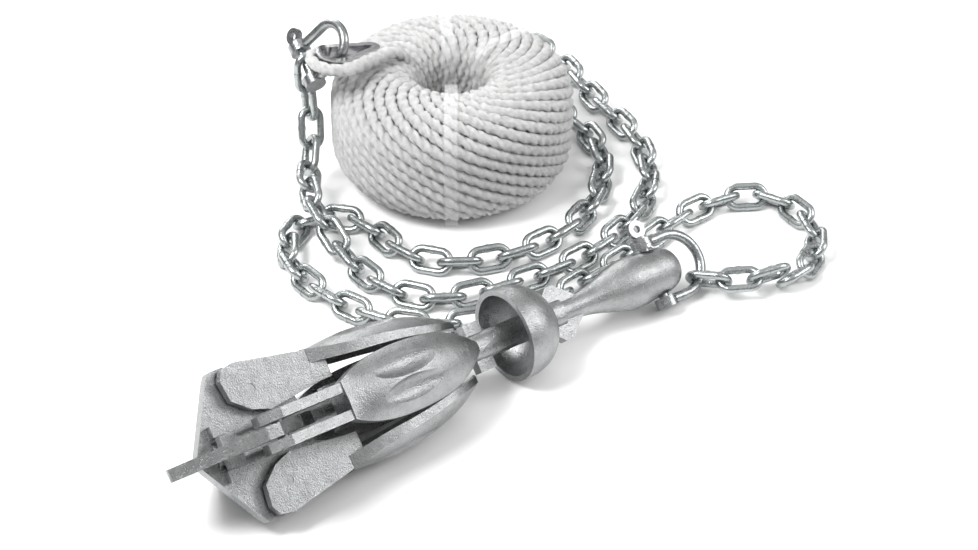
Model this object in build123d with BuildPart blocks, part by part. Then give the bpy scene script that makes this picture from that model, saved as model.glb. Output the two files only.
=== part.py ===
"""Folding grapnel boat anchor with its chain, shackles and a coil of rope.

Millimetres, +Z up, floor at z = 0, +X along the shank from the crown to the ring.
"""
import os
from math import cos, pi, radians, sin, sqrt

from build123d import *

os.makedirs("parts", exist_ok=True)

# ---- anchor: distances along the shank are from the hinge corner of the crown ----
CROWN_AT = (-213.0, -95.0)
CROWN_HEIGHT = 50.3
SHANK_TILT = 3.82
FIN_THICK = 9.0
FIN_APEX_LONG = -57.0
FIN_APEX_SHORT = -36.0
FIN_RADIUS = 54.0
HINGE_S, HINGE_R = 17.0, 33.0
HINGE_PIN_RADIUS = 4.0
RUNNING_GAP = 0.1
CHEEK_GAP = 12.5
CHEEK_THICK = 7.0
SHANK_WIDE, SHANK_CORNER = 20.0, 8.5
SHANK_END = 276.0
LUG_S, LUG_LONG, LUG_WIDE, LUG_RADIUS = 200.0, 14.0, 9.0, 18.0
STOP_S, STOP_RADIUS = 274.0, 21.0
BULB_HOLE_S = 368.0
COLLAR_RIM_S, COLLAR_RADIUS, COLLAR_LONG, COLLAR_WALL = 225.0, 34.7, 37.0, 4.0
COLLAR_BORE = 12.5

# ---- shackles: 8 mm rod ----
ROD = 8.0
EAR_RADIUS = 8.5
ANCHOR_SHACKLE_INSIDE = 39.0
ROPE_SHACKLE_INSIDE = 24.0
SHACKLE_REACH = 44.0
ROPE_SHACKLE_PIN = (44.4, 201.9, 103.6)
ROPE_SHACKLE_REACH_DIR = (0.479, -0.460, 0.748)
ROPE_SHACKLE_EYE_DIR = (0.190, 0.886, 0.423)

# ---- chain: 6 mm wire ----
WIRE = 6.0
LINK_PITCH = 24.5
LINK_WIDE = 22.5
LINK_STEP = 23.24
LINK_ROLL = 45.0
WELD_RADIUS, WELD_LONG = 3.35, 3.0
COLUMN_LINKS, COLUMN_TWIST = 8, -19.0

# the first three links rise off the floor and end on top of the fourth
LEAD_START = (186.7, -104.3, 11.5)
LEAD_LINKS = (((0.60, -0.78, 0.10), 120), ((0.81, -0.59, 0.07), 20), ((0.95, -0.31, 0.09), 120))

# the line of the other links: the free loop, the outer round, the turn at the crown end, the inner
# round, the turn behind the coil, the middle round, and the climb to the rope's shackle
CHAIN_LINE = [
    (241, -147.5, 9.2), (257, -147, 9.2), (276, -141, 9.2), (297, -124, 9.2), (310, -99, 9.2), (311, -72, 9.2),
    (300, -51, 9.2), (275, -39, 9.2), (240, -36, 9.2), (211, -40, 9.2), (184, -46, 9.2), (150, -52, 9.2),
    (117, -54, 9.2), (94, -57, 9.2), (54, -52, 9.2), (8, -34, 9.2), (-18, -12, 9.2), (-38, 24, 9.2),
    (-46, 58, 9.2), (-47, 90, 9.2), (-36, 119, 9.2), (-12, 137, 9.2), (14, 132, 9.2), (30, 108, 9.2),
    (31, 75, 9.2), (38, 44, 9.2), (62, 20, 9.2), (94, 7, 9.2), (131, 3, 9.2), (169, 10, 9.2),
    (200, 27, 9.2), (229, 54, 9.2), (248, 90, 9.2), (252, 130, 9.2), (247, 165, 9.2), (233, 198, 9.2),
    (229, 231, 9.2), (246, 261, 9.2), (276, 265, 9.2), (298, 244, 9.2), (303, 211, 9.2), (297, 175, 9.2),
    (287, 130, 9.2), (278, 75, 9.2), (262, 38, 9.2), (240, 10, 9.2), (212, -10, 9.2), (177, -23, 9.2),
    (134, -30, 9.2), (94, -27, 9.2), (45, -16, 9.2), (18, -4, 9.2), (0, 20, 9.2), (-7, 50, 9.2),
    (-7, 80, 12), (-5, 108, 23), (-1, 134, 31), (11, 157, 31), (27, 177, 34), (39, 192, 54),
    (43, 200, 78), (45, 202, 110),
]
# runs of links that share a node: name, and how many links of the line it takes
CHAIN_RUNS = (
    ("chain_loop_start", 7), ("chain_loop_return", 7), ("chain_outer_front", 10),
    ("chain_crown_turn", 9), ("chain_inner_front", 10), ("chain_inner_side", 9),
    ("chain_back_turn", 7), ("chain_middle_side", 9), ("chain_middle_front", 9),
    ("chain_crossing", 6),
)

# ---- rope and coil ----
ROPE = 10.0
COIL_AT = (140.0, 139.0)
COIL_RADIUS, COIL_HOLE, COIL_TOP, COIL_FOOT = 98.0, 26.0, 101.0, 1.5
COIL_SHOULDER, COIL_THROAT = 24.0, 12.0
TIE_WIDE, TIE_THICK, TIE_GAP = 10.0, 0.7, 0.7
TIE_ANGLES = {"front": -127.5, "side": 2.0, "back": 58.0}
THIMBLE_AT, THIMBLE_DIR = (52.8, 175.5, 118.0), (1.0, 0.02, -0.20)
THIMBLE_EYE, THIMBLE_POINT, THIMBLE_REACH = 10.0, 1.5, 36.0
THIMBLE_WALL, THIMBLE_LIP, THIMBLE_WIDE, LIP_THICK = 1.5, 5.0, 13.0, 1.2
# the standing leg runs on past the thimble's point, then bends down to the coil's top
LEG_AHEAD, LEG_BEND, LEG_TURN = 8.0, 40.0, 22.0

# the middle of the footprint of the anchor, chain and rope shackle, which becomes the origin
FOOTPRINT_MIDDLE = (25.8, 59.2)


def finish(piece, name):
    """Label a finished piece and write it as its own STEP file."""
    placed = piece.moved(Location((-FOOTPRINT_MIDDLE[0], -FOOTPRINT_MIDDLE[1], 0)))
    placed.label = name
    export_step(placed, f"parts/{name}.step")
    return placed.bounding_box()


# The anchor's own plane: X along the shank, Y and Z along its two pairs of fins.
shank_dir = Vector(cos(radians(SHANK_TILT)), 0, -sin(radians(SHANK_TILT)))
up_dir = Vector(sin(radians(SHANK_TILT)), 0, cos(radians(SHANK_TILT)))
left_dir = Vector(0, 1, 0)
ANCHOR = Plane(
    origin=(*CROWN_AT, CROWN_HEIGHT), x_dir=shank_dir, z_dir=(up_dir - left_dir).normalized()
)
QUARTERS = ("upper_right", "lower_right", "lower_left", "upper_left")
HALF_GAP = CHEEK_GAP / 2
CHEEK_OUT = HALF_GAP + CHEEK_THICK


def quarter_turn(count):
    """The location of the anchor's own plane after quarter turns about the shank."""
    return ANCHOR.location * Location((0, 0, 0), (90 * count, 0, 0))


# ---- shank and crown: one casting ----
def fin_outline(apex):
    """Half outline of one crown plate, from its apex round to the shank."""
    return [(apex, 0), (-7, FIN_RADIUS - 5), (-3, FIN_RADIUS), (8, FIN_RADIUS), (32, 38), (50, 18), (54, 0)]


with BuildPart() as shank_shape:
    with BuildSketch(Plane.YZ.offset(-22)):
        RectangleRounded(SHANK_WIDE, SHANK_WIDE, SHANK_CORNER)
    extrude(amount=SHANK_END + 22)
    for plane, apex in ((Plane.XY, FIN_APEX_SHORT), (Plane.XZ, FIN_APEX_LONG)):
        with BuildSketch(plane.offset(-FIN_THICK / 2)):
            half = fin_outline(apex)
            Polygon(*half, *[(x, -y) for x, y in reversed(half[1:-1])], align=None)
        extrude(amount=FIN_THICK)
    across = [edge for edge in shank_shape.edges() if abs(edge.length - FIN_THICK) < 0.1]
    fillet([edge for edge in across if edge.center().X < FIN_APEX_LONG + 1], 3.5)
    fillet([edge for edge in across if Vector(0, edge.center().Y, edge.center().Z).length > 40], 2.5)
    with BuildSketch(Plane.XZ):
        with BuildLine():
            Line((262, 0), (262, 8.5))
            Spline((262, 8.5), (286, 8.4), (312, 12.5), (340, 19.6), (366, 18.0), (388, 1.5),
                   tangents=[(1, 0), (0, -1)])
            Line((388, 1.5), (388, 0))
            Line((388, 0), (262, 0))
        make_face()
    revolve(axis=Axis.X)
    for side in (-1, 1):
        with Locations((LUG_S, side * LUG_RADIUS / 2, 0)):
            Box(LUG_LONG, LUG_RADIUS, LUG_WIDE)
        with Locations((78, side * 8, 0)):
            Box(12, 16, LUG_WIDE)
        with BuildSketch(Plane.XY.offset(-LUG_WIDE / 2)):
            Polygon((STOP_S - 10, 0), (STOP_S - 10, side * (STOP_RADIUS - 6)), (STOP_S - 4, side * STOP_RADIUS),
                    (STOP_S + 2, side * STOP_RADIUS), (STOP_S + 18, side * 8), (STOP_S + 18, 0),
                    align=None)
        extrude(amount=LUG_WIDE)
    for turn in (0, 90, 180, 270):
        for side in (-1, 1):
            with Locations(Location((0, 0, 0), (turn, 0, 0)) * Location((-14, side * 16, 7))):
                Box(12, 8, 9)
        with Locations(Location((0, 0, 0), (turn, 0, 0)) * Location((HINGE_S, 0, HINGE_R), (90, 0, 0))):
            Cylinder(HINGE_PIN_RADIUS, 2 * FIN_THICK, mode=Mode.SUBTRACT)
    with Locations(Location((BULB_HOLE_S, 0, 0), (90, 0, 0))):
        Cylinder(ROD / 2 + RUNNING_GAP, 60, mode=Mode.SUBTRACT)
with BuildPart() as shank:
    with Locations(ANCHOR.location):
        add(shank_shape.part)
finish(shank.part, "shank")

# ---- sliding lock collar: a cup that drops over the folded fluke tips ----
with BuildPart() as collar_shape:
    rim = COLLAR_RIM_S
    back = COLLAR_RIM_S + COLLAR_LONG
    inner = COLLAR_RADIUS - COLLAR_WALL
    with BuildSketch(Plane.XZ):
        with BuildLine():
            Line((rim, inner), (rim, COLLAR_RADIUS))
            Line((rim, COLLAR_RADIUS), (rim + 9, COLLAR_RADIUS))
            ThreePointArc((rim + 9, COLLAR_RADIUS), (rim + 26, 29), (back, 16))
            Line((back, 16), (back, COLLAR_BORE))
            Line((back, COLLAR_BORE), (back - 7, COLLAR_BORE))
            Line((back - 7, COLLAR_BORE), (back - 7, 14))
            ThreePointArc((back - 7, 14), (rim + 22, 25), (rim + 9, inner))
            Line((rim + 9, inner), (rim, inner))
        make_face()
    revolve(axis=Axis.X)
    with Locations((back, 0, 0)):
        Box(40, 2 * LUG_RADIUS + 2.5, LUG_WIDE + 1.5, mode=Mode.SUBTRACT)
with BuildPart() as collar:
    with Locations(ANCHOR.location):
        add(collar_shape.part)
finish(collar.part, "collar")

# ---- flukes: a fork of two cheeks, a bridge and a spoon-shaped palm ----
CHEEK = [(-1, 45), (1, 30), (13, 20), (26, 15.5), (50, 18), (74, 21), (74, 42), (55, 46), (13, 54), (3, 52)]
# each palm section: place along the shank, half width, outside at the middle and at the edge, thickness
PALM = [(66, 13.6, 45.5, 44.5, 12.0), (90, 22.0, 46.5, 38.5, 10.0), (115, 24.5, 46.5, 35.0, 9.0),
        (140, 23.5, 43.0, 31.0, 8.0), (165, 18.0, 35.5, 26.5, 7.5), (181, 9.0, 27.5, 24.3, 7.0),
        (188, 3.0, 23.5, 23.0, 6.5)]

with BuildPart() as fluke_shape:
    for side in (-1, 1):
        with BuildSketch(Plane.XZ.offset(side * CHEEK_OUT)):
            Polygon(*CHEEK, align=None)
        extrude(amount=-side * CHEEK_THICK)
    for s, half_wide, middle, edge, thick in PALM:
        with BuildSketch(Plane.YZ.offset(s)):
            with BuildLine():
                ThreePointArc((-half_wide, edge), (0, middle), (half_wide, edge))
                Line((half_wide, edge), (half_wide, edge - thick + 2))
                ThreePointArc((half_wide, edge - thick + 2), (0, middle - thick), (-half_wide, edge - thick + 2))
                Line((-half_wide, edge - thick + 2), (-half_wide, edge))
            make_face()
    loft()
    with Locations((72, 0, 31)):
        Box(12, 2 * CHEEK_OUT, 21)
    for side in (-1, 1):
        start = Vector(74, side * 11.0, 54.0)
        along = Vector(162, side * 10.0, 46.5) - start
        with BuildSketch(Plane(origin=start, x_dir=along, z_dir=(0, 1, 0))):
            with BuildLine():
                ThreePointArc((0, 0), (along.length / 2, 10.8), (along.length, 0))
                Line((along.length, 0), (0, 0))
            make_face()
        revolve(axis=Axis(start, along), mode=Mode.SUBTRACT)
    with Locations(Location((HINGE_S, 0, HINGE_R), (90, 0, 0))):
        Cylinder(HINGE_PIN_RADIUS + RUNNING_GAP, 60, mode=Mode.SUBTRACT)

# ---- hinge pins: through the fins, flush with the cheeks ----
with BuildPart() as hinge_pin_shape:
    with Locations(Location((HINGE_S, 0, HINGE_R), (90, 0, 0))):
        Cylinder(HINGE_PIN_RADIUS, 2 * CHEEK_OUT - 0.6)

for count, quarter in enumerate(QUARTERS):
    with BuildPart() as fluke:
        with Locations(quarter_turn(count)):
            add(fluke_shape.part)
    finish(fluke.part, f"fluke_{quarter}")
    with BuildPart() as hinge_pin:
        with Locations(quarter_turn(count)):
            add(hinge_pin_shape.part)
    finish(hinge_pin.part, f"hinge_pin_{quarter}")


# ---- shackles: the pin along Y, the bow reaching along X ----
def shackle_bow(inside):
    """A bow of round rod with two drilled ears, an eye width apart."""
    arm = inside / 2 + ROD / 2
    with BuildPart() as bow:
        with BuildSketch(Plane.YZ):
            with Locations((arm, 0)):
                Circle(ROD / 2)
        with BuildLine():
            Line((0, arm, 0), (SHACKLE_REACH - arm, arm, 0))
            ThreePointArc((SHACKLE_REACH - arm, arm, 0), (SHACKLE_REACH, 0, 0), (SHACKLE_REACH - arm, -arm, 0))
            Line((SHACKLE_REACH - arm, -arm, 0), (0, -arm, 0))
        sweep()
        for side in (-1, 1):
            with Locations(Location((0, side * arm, 0), (90, 0, 0))):
                Cylinder(EAR_RADIUS, ROD)
        with Locations(Location((0, 0, 0), (90, 0, 0))):
            Cylinder(ROD / 2, 4 * arm, mode=Mode.SUBTRACT)
    return bow.part


def shackle_pin(inside):
    """A screw pin with a collar and a flattened eye outside the upper ear."""
    outside = inside / 2 + ROD
    with BuildPart() as pin:
        with Locations(Location((0, 0, 0), (90, 0, 0))):
            Cylinder(ROD / 2, 2 * outside)
        with Locations(Location((0, outside + 1, 0), (90, 0, 0))):
            Cylinder(6, 2)
        with Locations((0, outside + 8, 0)):
            Cylinder(7, 4)
            Cylinder(3, 8, mode=Mode.SUBTRACT)
    return pin.part


# the anchor shackle's pin lies along the left and right fins' line, through the bulb
ANCHOR_SHACKLE = ANCHOR.location * Location((BULB_HOLE_S, 0, 0))
with BuildPart() as anchor_shackle_bow:
    with Locations(ANCHOR_SHACKLE):
        add(shackle_bow(ANCHOR_SHACKLE_INSIDE))
finish(anchor_shackle_bow.part, "anchor_shackle_bow")
with BuildPart() as anchor_shackle_pin:
    with Locations(ANCHOR_SHACKLE):
        add(shackle_pin(ANCHOR_SHACKLE_INSIDE))
finish(anchor_shackle_pin.part, "anchor_shackle_pin")

# the rope's shackle stands on its pin's lower ear, its bow reaching over the coil's shoulder
ROPE_SHACKLE = Plane(
    origin=ROPE_SHACKLE_PIN,
    x_dir=ROPE_SHACKLE_REACH_DIR,
    z_dir=Vector(*ROPE_SHACKLE_REACH_DIR).cross(Vector(*ROPE_SHACKLE_EYE_DIR)),
)
with BuildPart() as rope_shackle_bow:
    with Locations(ROPE_SHACKLE.location):
        add(shackle_bow(ROPE_SHACKLE_INSIDE))
finish(rope_shackle_bow.part, "rope_shackle_bow")
with BuildPart() as rope_shackle_pin:
    with Locations(ROPE_SHACKLE.location):
        add(shackle_pin(ROPE_SHACKLE_INSIDE))
finish(rope_shackle_pin.part, "rope_shackle_pin")


# ---- chain: welded long links, each rolled a quarter turn from the last ----
with BuildPart() as link:
    bend = (LINK_WIDE - WIRE) / 2
    half = (LINK_PITCH + WIRE) / 2 - bend
    with BuildSketch(Plane.YZ):
        with Locations((bend, 0)):
            Circle(WIRE / 2)
    with BuildLine():
        Line((0, bend), (half, bend))
        ThreePointArc((half, bend), (half + bend, 0), (half, -bend))
        Line((half, -bend), (-half, -bend))
        ThreePointArc((-half, -bend), (-half - bend, 0), (-half, bend))
        Line((-half, bend), (0, bend))
    sweep()
    with Locations(Location((0, bend, 0), (0, 90, 0))):
        Cylinder(WELD_RADIUS, WELD_LONG)


def link_place(start, end, side, roll):
    """The place of a link that runs from start to end, its width rolled from the side direction."""
    along = (end - start).normalized()
    wide = side * cos(radians(roll)) + along.cross(side) * sin(radians(roll))
    return Plane(origin=(start + end) * 0.5, x_dir=along, z_dir=along.cross(wide)).location


def side_of(along, last):
    """A level side direction, or the last one carried on where the chain climbs."""
    if last is None or abs(along.Z) < 0.3:
        return Vector(0, 0, 1).cross(along).normalized()
    return (last - along * last.dot(along)).normalized()


start = Vector(*LEAD_START)
for number, (direction, roll) in enumerate(LEAD_LINKS, 1):
    along = Vector(*direction).normalized()
    with BuildPart() as lead_link:
        with Locations(link_place(start, start + along * LINK_STEP, side_of(along, None), roll)):
            add(link.part)
    finish(lead_link.part, f"chain_link_{number}")
    start = start + along * LINK_STEP

line = Spline(*CHAIN_LINE)
link_count = int(line.length // LINK_STEP)
ends = [line.position_at(LINK_STEP * i, position_mode=PositionMode.LENGTH) for i in range(link_count + 1)]
places = []
side = None
for i in range(link_count):
    side = side_of((ends[i + 1] - ends[i]).normalized(), side)
    twist = COLUMN_TWIST * max(0, i - link_count + COLUMN_LINKS) / (COLUMN_LINKS - 1)
    roll = (LINK_ROLL if i % 2 else -LINK_ROLL) + twist
    places.append(link_place(ends[i], ends[i + 1], side, roll))
print("links in all:", link_count + len(LEAD_LINKS), "in the line:", link_count)

taken = 0
for name, count in (*CHAIN_RUNS, ("chain_climb", link_count - sum(n for _, n in CHAIN_RUNS))):
    with BuildPart() as run:
        with Locations(*places[taken:taken + count]):
            add(link.part)
    finish(run.part, name)
    taken += count

# ---- thimble: a teardrop channel, and the rope that lies in it ----
THIMBLE = Plane(origin=THIMBLE_AT, x_dir=THIMBLE_DIR, z_dir=Vector(*THIMBLE_DIR).cross(Vector(0, 1, 0)))
with BuildSketch() as eye_outline:
    Circle(THIMBLE_EYE)
    with Locations((THIMBLE_REACH, 0)):
        Circle(THIMBLE_POINT)
    make_hull()
with BuildSketch() as wall_outline:
    add(eye_outline.sketch)
    offset(amount=THIMBLE_WALL)
with BuildPart() as thimble_shape:
    with BuildSketch():
        add(eye_outline.sketch)
        offset(amount=THIMBLE_LIP)
        add(eye_outline.sketch, mode=Mode.SUBTRACT)
    extrude(amount=THIMBLE_WIDE / 2, both=True)
    with BuildSketch():
        add(eye_outline.sketch)
        offset(amount=2 * THIMBLE_LIP)
        add(wall_outline.sketch, mode=Mode.SUBTRACT)
    extrude(amount=THIMBLE_WIDE / 2 - LIP_THICK, both=True, mode=Mode.SUBTRACT)
with BuildPart() as thimble:
    with Locations(THIMBLE.location):
        add(thimble_shape.part)
finish(thimble.part, "thimble")

eye_bend = THIMBLE_EYE + THIMBLE_WALL + ROPE / 2 + 0.1
point_bend = THIMBLE_POINT + THIMBLE_WALL + ROPE / 2 + 0.1
lean = (eye_bend - point_bend) / THIMBLE_REACH
level = sqrt(1 - lean ** 2)
touch = Vector(eye_bend * lean, eye_bend * level)
tail = touch + Vector(level, -lean) * (THIMBLE_REACH * level + 3)
parting = Vector(touch.X, -touch.Y) + Vector(level, lean) * (THIMBLE_REACH * level + LEG_AHEAD)
bend_middle = parting + Vector(lean, -level) * LEG_BEND


def leg_after(turn):
    """The standing leg's place once it has turned this far, in degrees, past the parting point."""
    return bend_middle + (parting - bend_middle).rotate(Axis.Z, -turn)


with BuildPart() as rope_eye:
    with BuildLine(THIMBLE) as eye_line:
        Line(tuple(tail), tuple(touch))
        ThreePointArc(tuple(touch), (-eye_bend, 0), (touch.X, -touch.Y))
        Line((touch.X, -touch.Y), tuple(parting))
        ThreePointArc(tuple(parting), tuple(leg_after(LEG_TURN / 2)), tuple(leg_after(LEG_TURN)))
    back_along = THIMBLE.x_dir * -level + THIMBLE.y_dir * lean
    with BuildSketch(Plane(origin=THIMBLE.from_local_coords(tail), z_dir=back_along)):
        Circle(ROPE / 2)
    sweep()
finish(rope_eye.part, "rope_eye")
eye_length = sum(edge.length for edge in eye_line.line.edges())
print("rope round the thimble:", round(eye_length), "mm, volume ratio",
      round(rope_eye.part.volume / (pi * ROPE ** 2 / 4 * eye_length), 3))


# ---- coil: a barrel with a throat, standing on its flat end, held by three clear plastic ties ----
COIL_WIDE = COIL_RADIUS - COIL_HOLE
COIL_TALL = COIL_TOP - COIL_FOOT
with BuildSketch() as coil_section:
    with Locations(((COIL_RADIUS + COIL_HOLE) / 2, (COIL_TOP + COIL_FOOT) / 2)):
        Rectangle(COIL_WIDE, COIL_TALL)
    outside = coil_section.vertices().group_by(Axis.X)[-1]
    fillet(outside, COIL_SHOULDER)
    fillet(coil_section.vertices().group_by(Axis.X)[0], COIL_THROAT)
with BuildPart() as rope_coil:
    with BuildSketch(Plane(origin=(*COIL_AT, 0), x_dir=(1, 0, 0), z_dir=(0, -1, 0))):
        add(coil_section.sketch)
    revolve(axis=Axis((*COIL_AT, 0), (0, 0, 1)))
finish(rope_coil.part, "rope_coil")

with BuildSketch() as tie_inside:
    add(coil_section.sketch)
    offset(amount=TIE_GAP)
with BuildSketch() as tie_outside:
    add(coil_section.sketch)
    offset(amount=TIE_GAP + TIE_THICK)
for name, angle in TIE_ANGLES.items():
    turn = Vector(cos(radians(angle)), sin(radians(angle)), 0)
    with BuildPart() as tie:
        with BuildSketch(Plane(origin=(*COIL_AT, 0), x_dir=turn, z_dir=turn.cross(Vector(0, 0, 1)))):
            add(tie_outside.sketch)
            add(tie_inside.sketch, mode=Mode.SUBTRACT)
        extrude(amount=TIE_WIDE / 2, both=True)
    finish(tie.part, f"coil_tie_{name}")
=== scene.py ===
"""Looks for the folding grapnel anchor: materials for its metal, and the rope with its coil and eye."""
import math

import bpy
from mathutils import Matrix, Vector, noise


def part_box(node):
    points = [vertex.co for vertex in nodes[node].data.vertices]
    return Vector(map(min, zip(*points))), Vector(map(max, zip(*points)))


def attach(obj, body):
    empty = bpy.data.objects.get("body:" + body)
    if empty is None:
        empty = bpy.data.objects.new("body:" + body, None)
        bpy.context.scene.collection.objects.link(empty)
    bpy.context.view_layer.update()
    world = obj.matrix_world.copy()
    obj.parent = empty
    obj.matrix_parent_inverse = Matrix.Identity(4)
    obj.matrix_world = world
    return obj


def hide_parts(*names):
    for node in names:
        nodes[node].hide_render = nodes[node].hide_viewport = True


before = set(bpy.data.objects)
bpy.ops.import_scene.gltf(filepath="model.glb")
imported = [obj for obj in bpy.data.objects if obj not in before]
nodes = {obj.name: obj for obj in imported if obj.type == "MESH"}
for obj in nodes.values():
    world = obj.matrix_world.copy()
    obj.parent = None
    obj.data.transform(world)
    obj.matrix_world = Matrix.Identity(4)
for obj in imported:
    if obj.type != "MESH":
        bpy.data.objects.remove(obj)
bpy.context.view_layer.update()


# ---- camera, in metres in the part's frame ----
LOOK_AT = Vector((0.0489, -0.0537, 0.0))
LEVEL_VIEW = Vector((0.609, 0.793, 0.0))
VIEW_DOWN = math.radians(37.5)
CAMERA_AWAY = 1.8
LENS_MM, SENSOR_MM = 86.06, 36.0

view_dir = LEVEL_VIEW.normalized() * math.cos(VIEW_DOWN) - Vector((0, 0, math.sin(VIEW_DOWN)))
camera = bpy.data.objects.new("camera", bpy.data.cameras.new("camera"))
bpy.context.scene.collection.objects.link(camera)
camera.location = LOOK_AT - view_dir * CAMERA_AWAY
camera.rotation_euler = view_dir.to_track_quat("-Z", "Y").to_euler()
camera.data.lens = LENS_MM
camera.data.sensor_width = SENSOR_MM
bpy.context.scene.camera = camera
bpy.context.scene.view_settings.view_transform = "Standard"


# ---- small helpers for node materials ----
class Shader:
    """A material with its node tree, and short ways to add and link nodes."""

    def __init__(self, name):
        self.material = bpy.data.materials.new(name)
        self.material.use_nodes = True
        self.tree = self.material.node_tree
        self.main = self.tree.nodes["Principled BSDF"]

    def node(self, kind, **inputs):
        made = self.tree.nodes.new(kind)
        for key, value in inputs.items():
            made.inputs[key.replace("_", " ")].default_value = value
        return made

    def link(self, source, target):
        self.tree.links.new(source, target)

    def place(self):
        """Positions in the part's own frame."""
        return self.node("ShaderNodeTexCoord").outputs["Object"]

    def noise(self, scale, detail=3.0, rough=0.5, at=None):
        made = self.node("ShaderNodeTexNoise", Scale=scale, Detail=detail, Roughness=rough)
        self.link(at or self.place(), made.inputs["Vector"])
        return made.outputs["Fac"]

    def ramp(self, factor, stops):
        made = self.node("ShaderNodeValToRGB")
        elements = made.color_ramp.elements
        while len(elements) < len(stops):
            elements.new(0.5)
        for element, (position, colour) in zip(elements, stops):
            element.position = position
            element.color = (*colour, 1.0)
        self.link(factor, made.inputs["Fac"])
        return made.outputs["Color"]

    def map_range(self, factor, low, high):
        made = self.node("ShaderNodeMapRange", To_Min=low, To_Max=high)
        self.link(factor, made.inputs["Value"])
        return made.outputs["Result"]

    def bump(self, height, strength, distance, below=None):
        made = self.node("ShaderNodeBump", Strength=strength, Distance=distance)
        self.link(height, made.inputs["Height"])
        if below is not None:
            self.link(below, made.inputs["Normal"])
        return made.outputs["Normal"]


CLOUD_SCALE, CLOUD_STOPS = 90.0, (0.32, 0.68)
COARSE_GRAIN_SHARE, COARSE_GRAIN_DEPTH = 1 / 5, 0.0006


def zinc(name, dark, light, roughness, grain, grain_depth):
    """Zinc-coated metal: cloudy tone, uneven gloss and a fine grain."""
    made = Shader(name)
    cloud = made.noise(CLOUD_SCALE, detail=5.0, rough=0.65)
    tone = made.ramp(cloud, list(zip(CLOUD_STOPS, (dark, light))))
    made.link(tone, made.main.inputs["Base Color"])
    speckle = made.noise(grain, detail=2.0, rough=0.6)
    made.link(made.map_range(speckle, *roughness), made.main.inputs["Roughness"])
    made.main.inputs["Metallic"].default_value = 1.0
    coarse = made.bump(made.noise(grain * COARSE_GRAIN_SHARE, detail=2.0), 0.5, COARSE_GRAIN_DEPTH)
    made.link(made.bump(speckle, 0.6, grain_depth, coarse), made.main.inputs["Normal"])
    return made.material


anchor_zinc = zinc(
    "anchor_galvanised", dark=(0.30, 0.305, 0.31), light=(0.40, 0.405, 0.41),
    roughness=(0.22, 0.36), grain=1000.0, grain_depth=0.0007,
)
pin_zinc = zinc(
    "pin_zinc", dark=(0.28, 0.285, 0.29), light=(0.40, 0.405, 0.41),
    roughness=(0.32, 0.46), grain=1200.0, grain_depth=0.0004,
)
shackle_zinc = zinc(
    "shackle_zinc", dark=(0.28, 0.29, 0.295), light=(0.40, 0.415, 0.42),
    roughness=(0.20, 0.32), grain=1400.0, grain_depth=0.00025,
)
chain_zinc = zinc(
    "chain_zinc", dark=(0.34, 0.36, 0.36), light=(0.46, 0.485, 0.485),
    roughness=(0.20, 0.32), grain=1400.0, grain_depth=0.0002,
)


def polished_steel():
    made = Shader("thimble_steel")
    made.main.inputs["Metallic"].default_value = 1.0
    made.link(
        made.ramp(made.noise(60.0), [(0.3, (0.50, 0.50, 0.51)), (0.7, (0.66, 0.66, 0.67))]),
        made.main.inputs["Base Color"],
    )
    made.link(made.map_range(made.noise(700.0), 0.10, 0.22), made.main.inputs["Roughness"])
    return made.material


def clear_film():
    """Thin clear plastic, cloudy where it creases."""
    made = Shader("tie_clear")
    made.main.inputs["Roughness"].default_value = 0.12
    made.main.inputs["Alpha"].default_value = 0.13
    made.link(
        made.ramp(made.noise(120.0), [(0.3, (0.90, 0.91, 0.92)), (0.7, (0.98, 0.98, 0.98))]),
        made.main.inputs["Base Color"],
    )
    made.link(made.bump(made.noise(160.0, detail=2.0), 0.5, 0.0008), made.main.inputs["Normal"])
    return made.material


def white_rope():
    """Silky white fibre: UV V runs along the rope and U round it, and the yarns lie across the strands."""
    made = Shader("rope_white")
    uv = made.node("ShaderNodeTexCoord").outputs["UV"]
    yarn = made.node("ShaderNodeTexWave", Scale=1.0, Distortion=0.8, Detail=2.0)
    yarn.inputs["Detail Scale"].default_value = 2.0
    yarn.wave_type, yarn.bands_direction = "BANDS", "X"
    made.link(uv, yarn.inputs["Vector"])
    made.link(
        made.ramp(made.noise(240.0, detail=4.0), [(0.3, (0.59, 0.59, 0.585)), (0.62, (0.75, 0.75, 0.745))]),
        made.main.inputs["Base Color"],
    )
    made.link(made.map_range(yarn.outputs["Fac"], 0.36, 0.52), made.main.inputs["Roughness"])
    made.link(made.bump(yarn.outputs["Fac"], 0.8, 0.0006), made.main.inputs["Normal"])
    made.main.inputs["Sheen Weight"].default_value = 0.1
    return made.material


ROPE_WHITE = white_rope()
FINISHES = (
    (("anchor_shackle", "rope_shackle"), shackle_zinc),
    (("shank", "collar", "fluke"), anchor_zinc),
    (("hinge_pin",), pin_zinc),
    (("chain",), chain_zinc),
    (("thimble",), polished_steel()),
    (("coil_tie",), clear_film()),
)
for name, piece in nodes.items():
    for starts, material in FINISHES:
        if name.startswith(starts):
            piece.data.materials.clear()
            piece.data.materials.append(material)
            break


# ---- the rope's route: the eye, then a coil wound layer inside layer ----
coil_low, coil_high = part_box("rope_coil")
COIL_AT = Vector(((coil_low.x + coil_high.x) / 2, (coil_low.y + coil_high.y) / 2, 0.0))
COIL_RADIUS = (coil_high.x - coil_low.x) / 2
COIL_HOLE = 0.026
COIL_FOOT, COIL_TOP = coil_low.z, coil_high.z
POINT_STEP = 0.009
LAYER_DEPTHS = (0.005, 0.0148, 0.0246, 0.0340)
LAYER_TRACKS = (31, 19, 13, 7)
ROW = 0.0088
SHOULDER_BEND, THROAT_BEND = 0.026, 0.018
ARC_STEPS = 12
OUTLINE_STEP = 0.002
FEWEST_STEPS = 8
STEEPEST_SINE = 0.96
WANDER, WANDER_RATE, WANDER_PLACE = 0.0006, 0.11, (7.3, 1.9)
WANDER_SEED = 1
noise.seed_set(WANDER_SEED)
ENTRY_ANGLE = math.radians(112.0)
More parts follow.
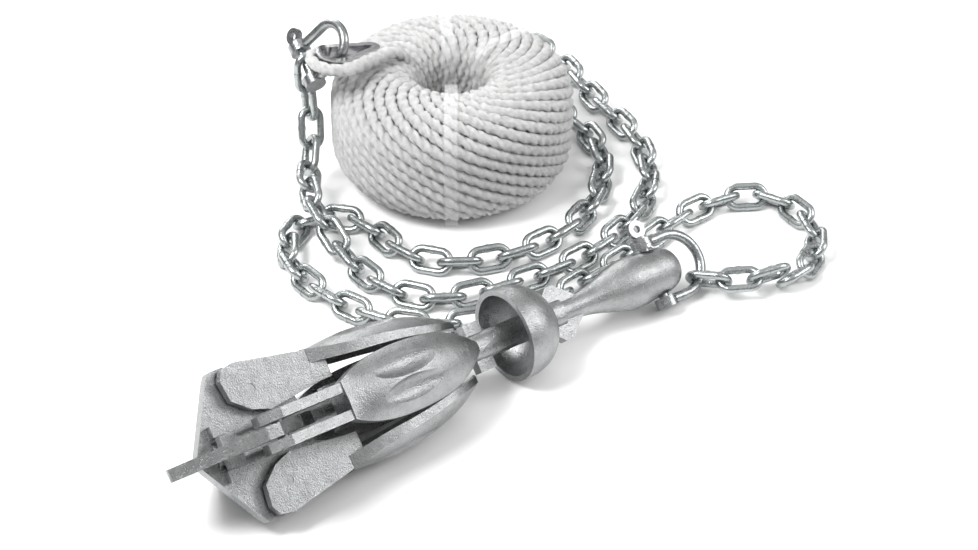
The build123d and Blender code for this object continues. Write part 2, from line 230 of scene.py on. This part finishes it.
DIVE = 0.030
DIVE_TURN = math.radians(20.0)
EYE_AT = Vector((0.0270, 0.1163, 0.1180))
EYE_ALONG = Vector((1.0, 0.02, -0.20)).normalized()
EYE_ACROSS = EYE_ALONG.cross(Vector((0, 1, 0))).cross(EYE_ALONG).normalized()
# the eye, along and across the thimble: the tail, round the thimble, and the standing leg
EYE_LINE = (
    (0.0408, 0.0072), (0.0225, 0.0117), (0.0085, 0.0165), (-0.0045, 0.0178), (-0.0150, 0.0125),
    (-0.0192, 0.0), (-0.0150, -0.0125), (-0.0045, -0.0178), (0.0085, -0.0165), (0.0250, -0.0110),
    (0.0390, -0.0078), (0.0520, -0.0055), (0.0615, -0.0056),
)


def section_line(depth):
    """The coil section's outline at a depth, as (radius, height) points from the hole's top down."""
    inner, outer = COIL_HOLE + depth, COIL_RADIUS - depth
    low, high = COIL_FOOT + depth, COIL_TOP - depth
    room = min(outer - inner, high - low) / 2
    shoulder, throat = min(SHOULDER_BEND, room), min(THROAT_BEND, room)
    corners = (
        (inner + throat, low + throat, throat, 180),
        (outer - shoulder, low + shoulder, shoulder, 270),
        (outer - shoulder, high - shoulder, shoulder, 0),
        (inner + throat, high - throat, throat, 90),
    )
    line = [(inner, high - throat)]
    for radius, height, bend, first in corners:
        for k in range(ARC_STEPS + 1):
            turn = math.radians(first + 90 * k / ARC_STEPS)
            line.append((radius + bend * math.cos(turn), height + bend * math.sin(turn)))
    return line


def walk(line, step):
    """The closed outline walked at equal steps: (radius, height) places and the step's true length."""
    lengths = [math.dist(a, b) for a, b in zip(line, line[1:])]
    total = sum(lengths)
    count = max(FEWEST_STEPS, round(total / step))
    places, k, passed = [], 0, 0.0
    for i in range(count):
        goal = total * i / count
        while passed + lengths[k] < goal:
            passed += lengths[k]
            k += 1
        share = (goal - passed) / lengths[k] if lengths[k] else 0.0
        a, b = line[k], line[k + 1]
        places.append((a[0] + (b[0] - a[0]) * share, a[1] + (b[1] - a[1]) * share))
    return places, total / count


def winding(depth, tracks, first_angle):
    """One layer, (angle, radius, height): a rope that goes round the section as it goes round the hole."""
    places, step = walk(section_line(depth), OUTLINE_STEP)
    turns = []
    for radius, _ in places:
        sine = min(STEEPEST_SINE, tracks * ROW / (2 * math.pi * radius))
        turns.append(step * math.sqrt(1 - sine * sine) / sine / radius)
    whole = sum(turns)
    laps = round(whole * tracks / (2 * math.pi))
    while math.gcd(laps, tracks) > 1:
        laps += 1
    stretch = laps * 2 * math.pi / tracks / whole
    angle, line = first_angle, []
    for _ in range(tracks):
        for (radius, height), turn in zip(places, turns):
            line.append((angle, radius, height))
            angle -= turn * stretch
    return line[:-round(DIVE / step)]


def on_coil(angle, radius, height):
    return COIL_AT + Vector((radius * math.cos(angle), radius * math.sin(angle), height))


def thin_out(points, step):
    """Points about a step apart along the line."""
    kept = [points[0]]
    for point in points[1:]:
        if (point - kept[-1]).length >= step:
            kept.append(point)
    return kept


def unsteady(points):
    """The small wander of a hand-guided winding."""
    return [
        point + noise.noise_vector(Vector((WANDER_RATE * i, *WANDER_PLACE))) * WANDER
        for i, point in enumerate(points)
    ]


route = [EYE_AT + EYE_ALONG * x + EYE_ACROSS * y for x, y in EYE_LINE]
angle = ENTRY_ANGLE
skin_ends = 0
for depth, tracks in zip(LAYER_DEPTHS, LAYER_TRACKS):
    layer = winding(depth, tracks, angle)
    angle = layer[-1][0] - DIVE_TURN
    route += unsteady(thin_out([on_coil(*place) for place in layer], POINT_STEP))
    skin_ends = skin_ends or len(route)


def smooth_line(points):
    """Points along the NURBS spline that has these control points."""
    data = bpy.data.curves.new("route", "CURVE")
    data.dimensions = "3D"
    data.resolution_u = 4
    spline = data.splines.new("NURBS")
    spline.points.add(len(points) - 1)
    for point, place in zip(spline.points, points):
        point.co = (*place, 1.0)
    spline.order_u = 3
    spline.use_endpoint_u = True
    holder = bpy.data.objects.new("route", data)
    bpy.context.scene.collection.objects.link(holder)
    mesh = bpy.data.meshes.new_from_object(holder)
    line = [vertex.co.copy() for vertex in mesh.vertices]
    bpy.data.objects.remove(holder)
    return line


# ---- the rope: three strands laid right-handed, as one closed tube that follows the route ----
LAY = 0.030
STRAND_RADIUS, STRAND_OFF = 0.00330, 0.00175
POINTS_A_STRAND = 5
YARNS = 30
WAVE_PERIOD = math.pi / 10
VISIBLE_STEP, HIDDEN_STEP = 0.0031, 0.0060
SPLICE_FROM, SPLICE_TO, SPLICE_SWELL = 0.075, 0.165, 0.28
TAIL_TAPER, TAIL_END_SIZE = 0.014, 0.45


def strand_section():
    """(angle, distance) points of three touching circles, from hollow to hollow."""
    section = []
    for strand in range(3):
        for k in range(POINTS_A_STRAND):
            across = math.radians(-60 + 120 * k / POINTS_A_STRAND)
            reach = STRAND_OFF * math.cos(across) + math.sqrt(
                max(0.0, STRAND_RADIUS ** 2 - (STRAND_OFF * math.sin(across)) ** 2)
            )
            section.append((math.radians(120 * strand) + across, reach))
    return section


def spaced(line, visible_length):
    """The line again at the visible step, then at the hidden one: places and distances."""
    places, distances = [line[0]], [0.0]
    travelled = 0.0
    for a, b in zip(line, line[1:]):
        travelled += (b - a).length
        step = VISIBLE_STEP if travelled < visible_length else HIDDEN_STEP
        if travelled - distances[-1] >= step:
            places.append(b)
            distances.append(travelled)
    return places, distances


def splice_swell(distance):
    """How much thicker the rope is where its tail is tucked in."""
    if distance < TAIL_TAPER:
        return TAIL_END_SIZE + (1 - TAIL_END_SIZE) * distance / TAIL_TAPER
    if SPLICE_FROM < distance < SPLICE_TO:
        return 1 + SPLICE_SWELL * math.sin(math.pi * (distance - SPLICE_FROM) / (SPLICE_TO - SPLICE_FROM))
    return 1.0


def rope_mesh(name, places, distances):
    section = strand_section()
    count = len(section)
    vertices, shares = [], []
    across = None
    for i, place in enumerate(places):
        along = (places[min(i + 1, len(places) - 1)] - places[max(i - 1, 0)]).normalized()
        across = Vector((0, 0, 1)) if across is None else across
        across = (across - along * across.dot(along)).normalized()
        other = along.cross(across)
        twist = 2 * math.pi * distances[i] / LAY
        size = splice_swell(distances[i])
        for angle, reach in section:
            turned = across * math.cos(angle + twist) + other * math.sin(angle + twist)
            vertices.append(place + turned * reach * size)
    faces = []
    last = len(places) - 1
    for i in range(last):
        for j in range(count):
            k = (j + 1) % count
            faces.append((i * count + j, i * count + k, (i + 1) * count + k, (i + 1) * count + j))
            for ring, point in ((i, j), (i, j + 1), (i + 1, j + 1), (i + 1, j)):
                turned = point / count + distances[ring] / LAY
                shares.append((turned * YARNS * WAVE_PERIOD, distances[ring] / LAY))
    faces.append(tuple(reversed(range(count))))
    faces.append(tuple(last * count + j for j in range(count)))
    shares += [(0.0, 0.0)] * (2 * count)
    mesh = bpy.data.meshes.new(name)
    mesh.from_pydata(vertices, [], faces)
    layer = mesh.uv_layers.new(name="UVMap")
    for loop, share in zip(layer.data, shares):
        loop.uv = share
    mesh.polygons.foreach_set("use_smooth", [True] * len(mesh.polygons))
    mesh.materials.append(ROPE_WHITE)
    made = bpy.data.objects.new(name, mesh)
    bpy.context.scene.collection.objects.link(made)
    return made


line = smooth_line(route)
skin_line = line[: round(len(line) * skin_ends / len(route))]
skin_length = sum((b - a).length for a, b in zip(skin_line, skin_line[1:]))
rope_path, rope_distances = spaced(line, skin_length)
print("rope wound:", round(rope_distances[-1], 2), "m, of it on the skin:", round(skin_length, 2), "m")
rope = rope_mesh("rope", rope_path, rope_distances)
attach(rope, "shank")
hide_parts("rope_coil", "rope_eye")


# ---- floor and soft studio light ----
def soft_box(name, at, size, power):
    """A rectangular lamp that faces the middle of the floor."""
    lamp = bpy.data.lights.new(name, "AREA")
    lamp.shape = "RECTANGLE"
    lamp.size, lamp.size_y = size
    lamp.energy = power
    made = bpy.data.objects.new(name, lamp)
    made.location = at
    made.rotation_euler = (-Vector(at)).to_track_quat("-Z", "Y").to_euler()
    bpy.context.scene.collection.objects.link(made)


FLOOR_WIDE = 14.0


def pale_floor():
    made = Shader("floor_pale")
    made.main.inputs["Base Color"].default_value = (0.93, 0.93, 0.93, 1)
    made.main.inputs["Roughness"].default_value = 0.9
    bpy.ops.mesh.primitive_plane_add(size=FLOOR_WIDE, location=(0, 0, 0))
    floor = bpy.context.object
    floor.name = "floor"
    floor.data.materials.append(made.material)


SKY_STRENGTH = 0.85
SKY_STOPS = ((0.05, 0.12), (0.75, 1.0))


def studio_sky():
    """A sky that is dark at the horizon and bright overhead."""
    world = bpy.data.worlds.new("studio")
    bpy.context.scene.world = world
    world.use_nodes = True
    tree = world.node_tree
    height = tree.nodes.new("ShaderNodeSeparateXYZ")
    tree.links.new(tree.nodes.new("ShaderNodeTexCoord").outputs["Generated"], height.inputs["Vector"])
    shade = tree.nodes.new("ShaderNodeValToRGB")
    for element, (position, grey) in zip(shade.color_ramp.elements, SKY_STOPS):
        element.position = position
        element.color = (grey, grey, grey, 1.0)
    tree.links.new(height.outputs["Z"], shade.inputs["Fac"])
    tree.links.new(shade.outputs["Color"], tree.nodes["Background"].inputs["Color"])
    tree.nodes["Background"].inputs["Strength"].default_value = SKY_STRENGTH


pale_floor()
studio_sky()
# name, place, size and power of each lamp
LAMPS = (
    ("key", (-0.9, 0.1, 1.5), (0.6, 0.6), 27.0),
    ("fill", (1.2, -1.0, 1.1), (0.8, 1.0), 13.0),
    ("rim", (0.4, 1.6, 0.9), (1.6, 0.6), 16.0),
)
for lamp_row in LAMPS:
    soft_box(*lamp_row)
